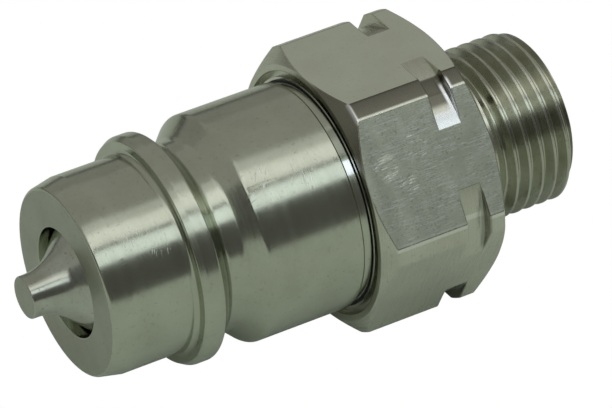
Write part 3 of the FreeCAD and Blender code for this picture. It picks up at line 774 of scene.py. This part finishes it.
# What the steels share. A scuff is along, angle, reach, lean in degrees and cover. Depths feed the bump.
plated = {
    "light": (0.50, 0.53, 0.435), "dark": (0.44, 0.465, 0.375),
    "rough": 0.17, "roughSpread": 0.05, "anisotropic": 0.3,
    "pits": 0.12, "pitColour": (0.16, 0.14, 0.10), "pitDepth": 0.0006,
    "ringDepth": 0.0012, "ringLimits": (0.3, 0.7), "lines": 9000.0, "waves": 700.0,
    "scratchDepth": 0.001, "wearScale": 1.0, "blotchLimits": (0.35, 0.68),
    "paintedLight": (),
    "scuffs": (), "scuffShare": 0.7, "scuffColour": (0.86, 0.88, 0.84),
    "scuffRough": 0.3, "scuffDepth": 0.01,
    "grain": 0.0, "grainBright": (0.9, 0.92, 0.88), "grainDull": (0.3, 0.32, 0.27), "dullShare": 0.45,
    "grainDepth": 0.0025,
}
looks = {
    "plug": {
        "pits": 0.25, "scratchDepth": 0.003,
        # Painted shade and a painted reflection on the plug body's rear lip.
        "paintedLight": (paintedLight["shadedLip"], paintedLight["lipPaintedReflection"]),
        "scuffs": (
            (18.6, 52, 1.5, 62, 0.40), (17.3, 44, 1.2, 20, 0.42), (22.4, 48, 1.8, 75, 0.38),
            (6.6, 36, 1.3, 80, 0.4), (4.2, 46, 1.8, 85, 0.4),
        ),
    },
    "poppet": {
        "light": (0.54, 0.57, 0.5), "dark": (0.42, 0.44, 0.37), "pits": 0.5, "rough": 0.19,
        "ringDepth": 0.0006,
    },
    # Faces that look forward: a rougher finish, and a darker colour that is painted shade.
    "turnedFaceShaded": {"light": (0.42, 0.445, 0.375), "dark": (0.37, 0.385, 0.32), "rough": 0.4, "pits": 0.3},
    "hexTurned": {
        "light": (0.59, 0.605, 0.505), "dark": (0.52, 0.525, 0.43), "pits": 0.3, "rough": 0.25,
        # The hexagon's painted highlights, painted shade and painted dark reflections.
        "paintedLight": tuple(paintedLight[name] for name in hexPaintedLight),
    },
    "hexFlat": {
        "light": (0.54, 0.56, 0.46), "dark": (0.5, 0.515, 0.42), "pits": 0.2, "rough": 0.26,
        "ringDepth": 0.0, "anisotropic": 0.0,
    },
    # The top flat: a satin finish, with a lighter colour that is painted light.
    "hexFlatSatinLit": {
        "light": (0.695, 0.735, 0.615), "dark": (0.65, 0.685, 0.57), "pits": 0.15, "rough": 0.4,
        "ringDepth": 0.0, "scratchDepth": 0.0006, "anisotropic": 0.0,
    },
    # The flat towards the camera: its grain, scuffs, scratches and pits are wear, and its lighter colour
    # is painted light.
    "hexFlatWornAndLit": {
        "light": (0.71, 0.76, 0.62), "dark": (0.58, 0.62, 0.505), "pits": 0.4, "rough": 0.42,
        "ringDepth": 0.0, "scratchDepth": 0.002, "anisotropic": 0.0, "grain": 0.9,
        # Painted highlight along the flat's lower edge.
        "paintedLight": (paintedLight["rimPaintedHighlight"],),
        "scuffs": ((30.4, 36, 1.6, 8, 0.45), (32.0, 26, 1.5, 5, 0.42), (34.0, 40, 1.8, 0, 0.4)),
    },
    "thread": {"light": (0.54, 0.555, 0.47), "dark": (0.41, 0.415, 0.335), "pits": 0.45, "rough": 0.2},
    "bright": {"light": (0.68, 0.68, 0.64), "dark": (0.6, 0.6, 0.56), "rough": 0.16},
    "dark": {"light": (0.2, 0.2, 0.19), "dark": (0.13, 0.13, 0.12), "rough": 0.34},
}
steels = {name: makeSteel("steel " + name, {**plated, **look}) for name, look in looks.items()}
softLooks = {
    "rubber": {"light": (0.018, 0.018, 0.018), "dark": (0.035, 0.035, 0.034), "rough": 0.55, "bump": 0.3,
               "bumpDepth": 0.05},
    "ptfe": {"light": (0.8, 0.8, 0.77), "dark": (0.7, 0.7, 0.67), "rough": 0.4, "bump": 0.3,
             "bumpDepth": 0.05},
}
softs = {name: makeSoft(name, look) for name, look in softLooks.items()}
print("materials made")


def dress(piece, *materials):
    piece.data.materials.clear()
    for material in materials:
        piece.data.materials.append(material)


def dressFace(piece, x, material, facing=-0.98, near=0.2):
    # Gives the face that looks forward at one station its own rougher finish, whose darker colour is
    # painted shade.
    piece.data.materials.append(material)
    for face in piece.data.polygons:
        if face.normal.x < facing and abs(face.center.x - station(x, 0).x) < near * mm:
            face.material_index = 1


# Flats are counted from +Y round towards +Z, so 1 is the top and 2 the one towards the camera.
flatFinishes = {
    "all": ("hexTurned", "hexFlat", "hexFlatSatinLit", "hexFlatWornAndLit"),
    "plain": 1,
    # The top flat and the flat towards the camera take lighter copies of the flat steel, as painted
    # light.
    "ofSide": {1: 2, 2: 3},
    "square": 0.9999,  # how closely a face must look away from the axis to count as flat
    "near": 0.003,
}


def dressFlats(adapter):
    dress(adapter, *(steels[name] for name in flatFinishes["all"]))
    for face in adapter.data.polygons:
        side = round(math.degrees(math.atan2(face.normal.z, face.normal.y)) / 60 - 0.5)
        angle = math.radians(30 + 60 * side)
        away = Vector((0.0, math.cos(angle), math.sin(angle)))
        offFlat = abs(face.center.dot(away) - adapterSizes["flat"] * mm)
        if face.normal.dot(away) > flatFinishes["square"] and offFlat < flatFinishes["near"] * mm:
            face.material_index = flatFinishes["ofSide"].get(side, flatFinishes["plain"])


def whiteForCamera(tree, shown, kind, output):
    # The camera sees plain white where all other rays meet the shader shown.
    white = put(tree, addNode(tree, kind), Color=(1, 1, 1, 1), Strength=1.0)
    cameraRay = addNode(tree, "ShaderNodeLightPath").outputs["Is Camera Ray"]
    mix = addNode(tree, "ShaderNodeMixShader")
    put(tree, mix, i0=cameraRay, i1=shown.outputs[0], i2=white.outputs[0])
    tree.links.new(mix.outputs[0], tree.nodes[output].inputs["Surface"])


floorLook = {
    "size": 3.0,  # metres
    "colour": (0.68, 0.72, 0.655), "rough": 0.9,
    "glow": (0.92, 1.0, 0.88), "glowStrength": 0.05,
}


def makeFloor():
    lowest = -adapterSizes["flat"] * mm
    bpy.ops.mesh.primitive_plane_add(size=floorLook["size"], location=(0, 0, lowest))
    floor = bpy.context.object
    floor.name = "floor"
    material, tree, shader = newMaterial("floor")
    put(tree, shader, Base_Color=(*floorLook["colour"], 1), Roughness=floorLook["rough"],
        Emission_Color=(*floorLook["glow"], 1), Emission_Strength=floorLook["glowStrength"])
    whiteForCamera(tree, shader, "ShaderNodeEmission", "Material Output")
    floor.data.materials.append(material)


# Start and stop are angles in degrees from the front horizon, distance and length are metres.
softboxes = {
    "softbox lower": {"start": 39.8, "stop": 56.2, "distance": 0.7, "length": 2.4, "radiance": 1.3,
                      "colour": (0.93, 1.0, 1.04)},
    "softbox upper": {"start": 60.8, "stop": 78.0, "distance": 0.7, "length": 2.4, "radiance": 1.15,
                      "colour": (1.0, 1.0, 1.0)},
    "softbox edge": {"start": 78.1, "stop": 90.0, "distance": 0.7, "length": 2.4, "radiance": 0.62,
                     "colour": (1.0, 1.0, 0.98)},
    "ceiling panel": {"start": 90.2, "stop": 150.0, "distance": 0.9, "length": 8.0, "radiance": 0.27,
                      "colour": (1.0, 1.0, 0.93)},
    "rear panel": {"start": 150.2, "stop": 174.0, "distance": 0.9, "length": 8.0, "radiance": 0.19,
                   "colour": (1.0, 1.0, 0.93)},
}
roomLook = {"colour": (1.0, 1.0, 0.92), "strength": 0.1}


def makeSoftbox(name, box):
    # A long softbox parallel to the object's axis.
    light = bpy.data.lights.new(name, "AREA")
    light.shape = "RECTANGLE"
    light.size = box["length"]
    light.size_y = 2 * box["distance"] * math.tan(math.radians((box["stop"] - box["start"]) / 2))
    light.energy = box["radiance"] * math.pi * light.size * light.size_y
    light.color = box["colour"]
    lamp = bpy.data.objects.new(name, light)
    bpy.context.scene.collection.objects.link(lamp)
    angle = math.radians((box["start"] + box["stop"]) / 2)
    outward = Vector((0, -math.cos(angle), math.sin(angle)))
    side = Vector((1, 0, 0))
    turn = Matrix((side, outward.cross(side), outward)).transposed()
    lamp.matrix_world = Matrix.Translation(outward * box["distance"]) @ turn.to_4x4()


def lightScene():
    for name, box in softboxes.items():
        makeSoftbox(name, box)
    world = bpy.data.worlds.new("studio")
    bpy.context.scene.world = world
    world.use_nodes = True
    room = world.node_tree.nodes["Background"]
    put(world.node_tree, room, Color=(*roomLook["colour"], 1), Strength=roomLook["strength"])
    whiteForCamera(world.node_tree, room, "ShaderNodeBackground", "World Output")
    bpy.context.scene.view_settings.view_transform = "Standard"


cameraSetup = {
    "sensorWidth": 36.0, "lens": 311.364, "clipStart": 0.05,
    "right": (0.862457, -0.503437, -0.052135),
    "up": (0.31575, 0.454677, 0.832809),
    "back": (-0.395562, -0.734726, 0.5511),
    "place": (-190.110, -387.678, 289.754),
}


def placeCamera():
    data = bpy.data.cameras.new("camera")
    data.sensor_width = cameraSetup["sensorWidth"]
    data.lens = cameraSetup["lens"]
    data.clip_start = cameraSetup["clipStart"]
    camera = bpy.data.objects.new("camera", data)
    bpy.context.scene.collection.objects.link(camera)
    turn = Matrix([cameraSetup[side] for side in ("right", "up", "back")]).transposed()
    camera.matrix_world = Matrix.Translation(Vector(cameraSetup["place"]) * mm) @ turn.to_4x4()
    bpy.context.scene.camera = camera


plugBody = makePlugBody()
dress(plugBody, steels["plug"])
dressFace(plugBody, 0.0, steels["turnedFaceShaded"])
poppetHead = makePoppetHead()
dress(poppetHead, steels["poppet"])
dressFace(poppetHead, poppetSizes["tip"], steels["turnedFaceShaded"])
dressFlats(makeAdapter())
dress(makeThread(), steels["thread"])
dress(makeSpring(), steels["dark"])
print("turned pieces and spring made")

cadFinishes = {
    "face_seal_case": steels["bright"],
    "face_seal": softs["rubber"],
    "poppet_seal": softs["rubber"],
    "seal_retainer": steels["plug"],
    "poppet_stem": steels["plug"],
    "valve_guide": steels["plug"],
    "guide_snap_ring": steels["dark"],
    "adapter_o_ring": softs["rubber"],
    "adapter_backup_ring": softs["ptfe"],
}
for node, material in cadFinishes.items():
    dress(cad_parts[node], material)
print("CAD pieces dressed")

makeFloor()
lightScene()
placeCamera()
print("studio set up")
